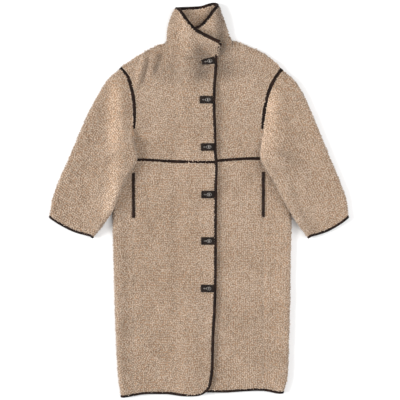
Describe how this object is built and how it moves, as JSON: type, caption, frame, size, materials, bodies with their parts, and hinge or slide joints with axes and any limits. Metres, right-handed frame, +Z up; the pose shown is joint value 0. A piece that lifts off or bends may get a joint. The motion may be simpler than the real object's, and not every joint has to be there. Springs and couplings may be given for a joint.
{
  "type": "faux fur coat laid flat",
  "caption": "Long curly-pile coat laid flat on its back, right front lapped over the left, with a stand collar, dropped shoulders, wide sleeves, dark leather-look bindings and fastening tabs.",
  "frame": {"origin": "middle of the coat's footprint, on the surface that it lies on", "axes": "+Z up from the surface, +Y from the hem to the collar, +X towards the wearer's left side"},
  "size_m": [0.9818, 1.2954, 0.0609],
  "materials": {
    "fleece": "matt curly pile",
    "leather": "satin grain",
    "gunmetal": "satin"
  },
  "bodies": {
    "root": {"back": "fleece", "front_upper_right": "fleece", "front_upper_left": "fleece", "front_lower_right": "fleece", "front_lower_left": "fleece", "sleeve_right": "fleece", "sleeve_left": "fleece", "collar": "fleece", "collar_binding": "leather", "collar_end_binding": "leather", "edge_binding": "leather", "hem_binding_left": "leather", "hem_binding_back": "leather", "cuff_binding_right": "leather", "cuff_binding_left": "leather", "armhole_piping_right": "leather", "armhole_piping_left": "leather", "waist_piping_right": "leather", "waist_piping_left": "leather", "pocket_welt_right": "leather", "pocket_welt_left": "leather", "tab_1": "leather", "tab_2": "leather", "tab_3": "leather", "tab_4": "leather", "tab_5": "leather", "tab_6": "leather", "lock_1": "gunmetal", "lock_2": "gunmetal", "lock_3": "gunmetal", "lock_4": "gunmetal", "lock_5": "gunmetal", "lock_6": "gunmetal", "rivet_1": "gunmetal", "rivet_2": "gunmetal", "rivet_3": "gunmetal", "rivet_4": "gunmetal", "rivet_5": "gunmetal", "rivet_6": "gunmetal"}
  },
  "joints": []
}
